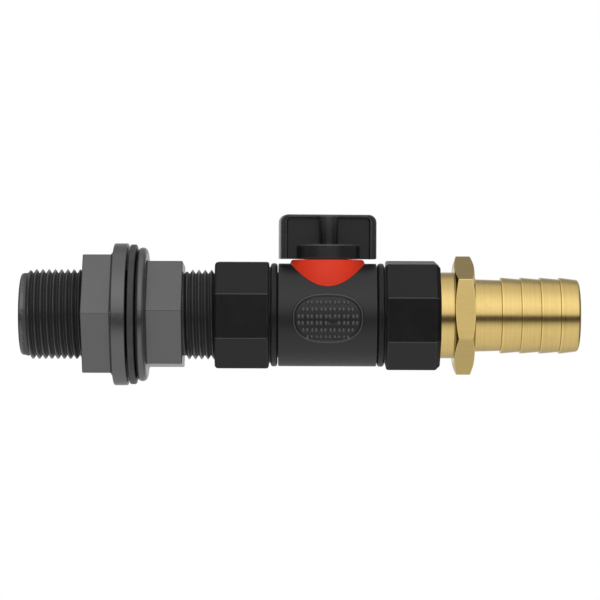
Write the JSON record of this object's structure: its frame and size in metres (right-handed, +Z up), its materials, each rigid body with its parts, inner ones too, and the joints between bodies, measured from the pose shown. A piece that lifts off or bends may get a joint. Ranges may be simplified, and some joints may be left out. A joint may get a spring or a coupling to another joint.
{
  "type": "seacock valve",
  "caption": "Quarter-turn ball seacock on a threaded through-hull fitting with gasket and back nut, and a brass barbed hose tail at the other end.",
  "frame": {"origin": "centre of the fixed flange's clamping face, on the water way's axis", "axes": "+X along the water way from the outboard end to the hose end, +Z up through the handle, +Y to the left looking along +X"},
  "size_m": [0.2057, 0.0524, 0.0633],
  "materials": {
    "grey_plastic": "satin moulded",
    "gasket_rubber": "matt",
    "black_plastic": "semi-gloss moulded",
    "handle_plastic": "semi-gloss moulded",
    "red_plastic": "satin moulded",
    "brass": "fine turned",
    "steel": "turned",
    "ball_plastic": "polished",
    "seat_plastic": "waxy",
    "seal_rubber": "matt"
  },
  "bodies": {
    "valve_run": {"through_hull_fitting": "grey_plastic", "valve_body": "black_plastic", "stem_collar": "red_plastic", "inlet_end": "black_plastic", "inlet_seat": "seat_plastic", "inlet_seat_oring": "seal_rubber", "inlet_end_oring": "seal_rubber", "inlet_socket_washer": "seal_rubber", "outlet_end": "black_plastic", "outlet_seat": "seat_plastic", "outlet_seat_oring": "seal_rubber", "outlet_end_oring": "seal_rubber", "outlet_socket_washer": "seal_rubber", "hose_tail": "brass"},
    "handle": {"handle": "handle_plastic", "handle_screw": "steel", "stem": "steel", "stem_thrust_washer": "seat_plastic", "stem_oring_lower": "seal_rubber", "stem_oring_upper": "seal_rubber"},
    "ball": {"ball": "ball_plastic"},
    "hull_gasket": {"hull_gasket": "gasket_rubber"},
    "back_nut": {"back_nut": "grey_plastic"}
  },
  "joints": [
    {"name": "handle_turn", "type": "hinge", "parent": "valve_run", "child": "handle", "pos_m": [0.07, 0, 0], "axis": [0, 0, 1], "range_deg": [-96, 0]},
    {"name": "ball_turn", "type": "hinge", "parent": "valve_run", "child": "ball", "pos_m": [0.07, 0, 0], "axis": [0, 0, 1], "range_deg": [-96, 0]},
    {"name": "gasket_slide", "type": "slide", "parent": "valve_run", "child": "hull_gasket", "axis": [1, 0, 0], "range_m": [-0.0205, 0]},
    {"name": "back_nut_turn", "type": "hinge", "parent": "hull_gasket", "child": "back_nut", "pos_m": [0, 0, 0], "axis": [1, 0, 0], "range_deg": [-3150, 0]}
  ],
  "couplings": [
    {"joint": "ball_turn", "follows": "handle_turn", "ratio": 1},
    {"joint": "gasket_slide", "follows": "back_nut_turn", "m_per_rad": 0.00036749}
  ]
}
